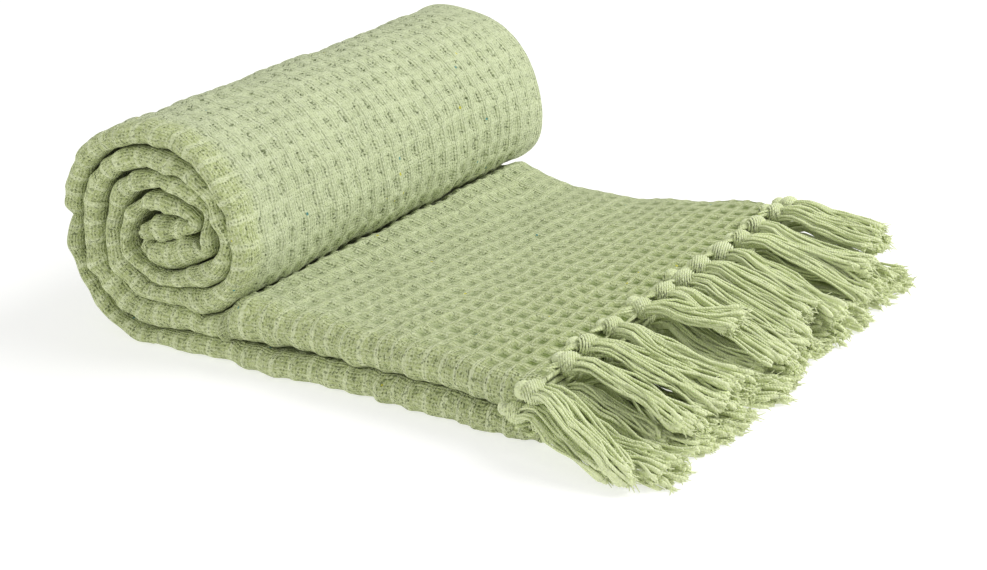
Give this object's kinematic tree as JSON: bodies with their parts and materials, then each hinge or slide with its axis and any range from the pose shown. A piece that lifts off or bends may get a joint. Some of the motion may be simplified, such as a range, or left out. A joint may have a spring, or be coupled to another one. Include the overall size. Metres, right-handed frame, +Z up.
{
  "type": "throw blanket",
  "caption": "Waffle cotton throw with knotted fringe, folded lengthwise, doubled and rolled, with a flat run and the fringed ends in front",
  "frame": {"origin": "middle of the footprint, on the surface it rests on", "axes": "+X from the roll to the fringe along the flat run, +Y along the roll's axis away from the folded edge, +Z up"},
  "size_m": [0.4094, 0.326, 0.1306],
  "materials": {
    "waffle_cotton": "soft waffle weave in sage green cotton",
    "fringe_yarn": "twisted cotton yarn, knotted, cut ends fluffy"
  },
  "bodies": {
    "root": {"throw_cloth": "waffle_cotton", "fringe_lower": "fringe_yarn", "fringe_upper": "fringe_yarn"}
  },
  "joints": []
}
